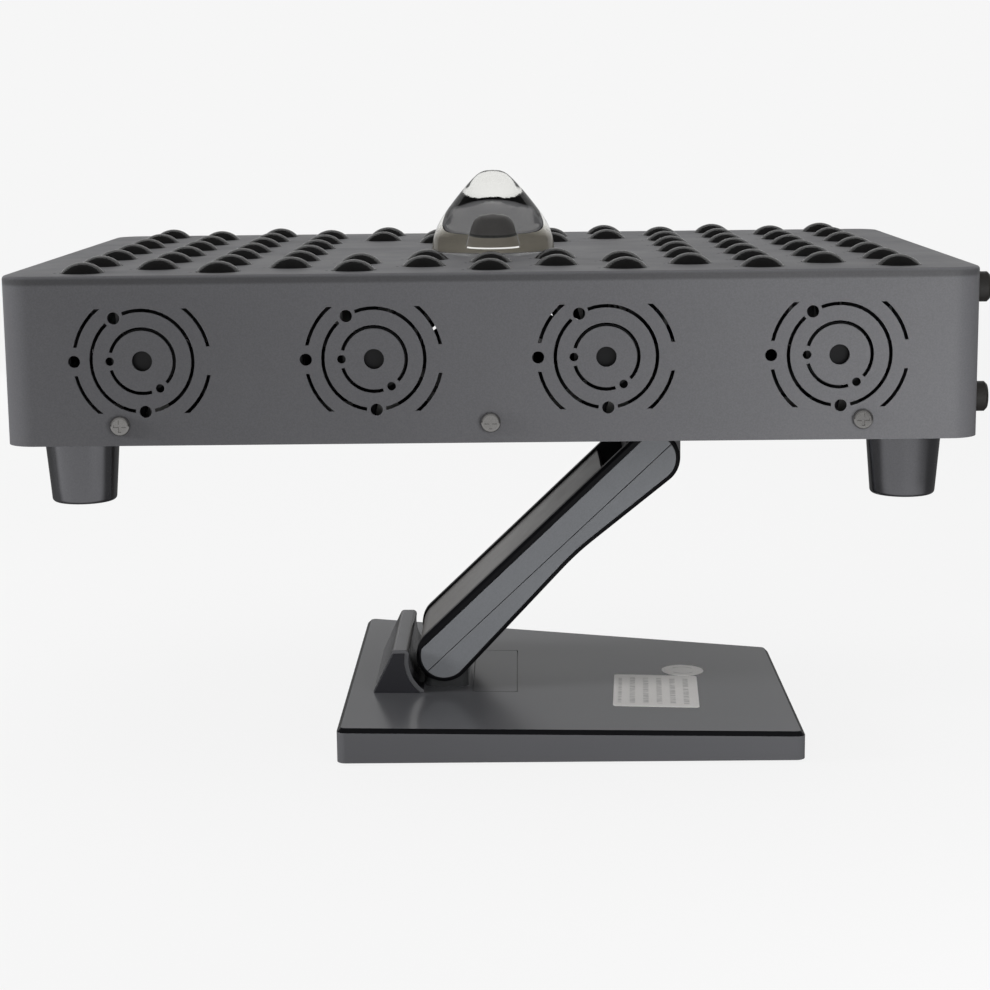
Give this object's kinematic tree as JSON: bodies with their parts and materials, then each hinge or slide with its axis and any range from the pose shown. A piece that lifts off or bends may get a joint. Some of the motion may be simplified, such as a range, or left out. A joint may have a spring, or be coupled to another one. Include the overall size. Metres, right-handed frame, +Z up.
{
  "type": "led grow light",
  "caption": "Flat LED grow light with domed lenses, a clear bullet lens, ring-slot fan vents and tapered feet, on a folding two-hinge arm and a wedge table base.",
  "frame": {"origin": "centre of the overall box in X and Y, on the table plane under the base pads", "axes": "+X along the head to the end with the bumpers, +Y away from the front vent wall, +Z up, lenses facing up"},
  "size_m": [0.3942, 0.276, 0.2452],
  "materials": {
    "housing_grey": "satin powder coat",
    "bracket_black": "satin powder coat",
    "nickel": "bright nickel",
    "steel_screw": "zinc",
    "foot_black": "gloss",
    "bumper_rubber": "matte",
    "lens_clear": "clear",
    "holder_black": "matte",
    "rocker_red": "gloss",
    "board": "white solder mask",
    "phosphor": "matte",
    "sink": "extruded",
    "driver": "potted",
    "arm_black": "satin",
    "arm_grey": "satin",
    "cover_brown": "satin",
    "base_black": "satin",
    "ballast": "raw",
    "label_grey": "matte"
  },
  "bodies": {
    "base": {"base_shell": "base_black", "base_bottom_cover": "base_black", "base_bosses": "base_black", "base_weight": "ballast", "base_screws": "steel_screw", "base_pads": "bumper_rubber", "cradle": "base_black", "cradle_caps": "base_black", "cover_tile": "base_black", "rating_label": "label_grey", "round_sticker": "label_grey", "hinge_block": "bracket_black", "stand_screws": "steel_screw"},
    "arm": {"arm_body": "arm_black", "arm_top_cover": "cover_brown", "arm_under_cover": "cover_brown", "arm_panel_front_upper": "arm_grey", "arm_panel_front_lower": "arm_grey", "arm_panel_rear_upper": "arm_grey", "arm_panel_rear_lower": "arm_grey", "lower_hinge_pin": "steel_screw", "upper_hinge_pin": "steel_screw", "lower_hinge_washers": "steel_screw", "upper_hinge_washers": "steel_screw"},
    "head": {"back_cover": "housing_grey", "bracket_screws": "steel_screw", "centre_lens": "lens_clear", "cob_board": "board", "cob_emitter": "phosphor", "end_bumpers": "bumper_rubber", "fan_frame_1": "holder_black", "fan_frame_2": "holder_black", "fan_frame_3": "holder_black", "fan_frame_4": "holder_black", "fan_rail": "bracket_black", "foot_screws": "steel_screw", "head_bracket": "bracket_black", "head_shell": "housing_grey", "heatsink": "sink", "housing_screws": "nickel", "led_board": "board", "led_chips": "phosphor", "led_driver_1": "driver", "led_driver_2": "driver", "lens_holder": "holder_black", "lenses_left": "lens_clear", "lenses_middle": "lens_clear", "lenses_right": "lens_clear", "mains_inlet": "holder_black", "switch_housing_1": "holder_black", "switch_housing_2": "holder_black", "tapered_feet": "foot_black"},
    "fan_rotor_1": {"fan_rotor_1": "holder_black"},
    "fan_rotor_2": {"fan_rotor_2": "holder_black"},
    "fan_rotor_3": {"fan_rotor_3": "holder_black"},
    "fan_rotor_4": {"fan_rotor_4": "holder_black"},
    "rocker_1": {"rocker_1": "rocker_red"},
    "rocker_2": {"rocker_2": "rocker_red"}
  },
  "joints": [
    {"name": "arm_tilt", "type": "hinge", "parent": "base", "child": "arm", "pos_m": [-0.02344, 0, 0.0301], "axis": [0, -1, 0], "range_deg": [-15, 15]},
    {"name": "head_tilt", "type": "hinge", "parent": "arm", "child": "head", "pos_m": [0.06986, 0, 0.1185], "axis": [0, -1, 0], "range_deg": [-40, 18]},
    {"name": "fan_spin_1", "type": "hinge", "parent": "head", "child": "fan_rotor_1", "pos_m": [-0.13714, -0.128, 0.1762], "axis": [0, 1, 0], "continuous": true},
    {"name": "fan_spin_2", "type": "hinge", "parent": "head", "child": "fan_rotor_2", "pos_m": [-0.04614, -0.128, 0.1762], "axis": [0, 1, 0], "continuous": true},
    {"name": "fan_spin_3", "type": "hinge", "parent": "head", "child": "fan_rotor_3", "pos_m": [0.04487, -0.128, 0.1762], "axis": [0, 1, 0], "continuous": true},
    {"name": "fan_spin_4", "type": "hinge", "parent": "head", "child": "fan_rotor_4", "pos_m": [0.13587, -0.128, 0.1762], "axis": [0, 1, 0], "continuous": true},
    {"name": "rocker_1_press", "type": "hinge", "parent": "head", "child": "rocker_1", "pos_m": [-0.19163, -0.062, 0.1762], "axis": [0, 0, 1], "range_deg": [-14, 0]},
    {"name": "rocker_2_press", "type": "hinge", "parent": "head", "child": "rocker_2", "pos_m": [-0.19163, -0.022, 0.1762], "axis": [0, 0, 1], "range_deg": [-14, 0]}
  ]
}
